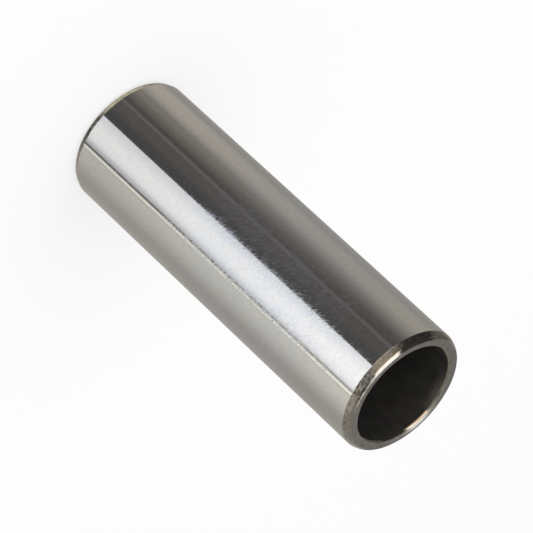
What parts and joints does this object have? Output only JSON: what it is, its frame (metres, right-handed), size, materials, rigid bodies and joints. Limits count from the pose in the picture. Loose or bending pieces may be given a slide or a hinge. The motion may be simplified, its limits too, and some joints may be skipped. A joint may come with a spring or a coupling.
{
  "type": "gudgeon pin",
  "caption": "Hollow round steel pin that joins a piston to its connecting rod, ground outside, with a plain bore and a chamfered, rounded edge at each end.",
  "frame": {"origin": "centre of the lower end face, on the pin's axis", "axes": "+Z along the pin's axis, from the lower end face to the upper one; both ends are alike, and +X and +Y may point any way round the axis"},
  "size_m": [0.021, 0.021, 0.065],
  "materials": {
    "pin_steel": "ground and polished outside, turned ends, dull bore"
  },
  "bodies": {
    "root": {"gudgeon_pin": "pin_steel"}
  },
  "joints": []
}
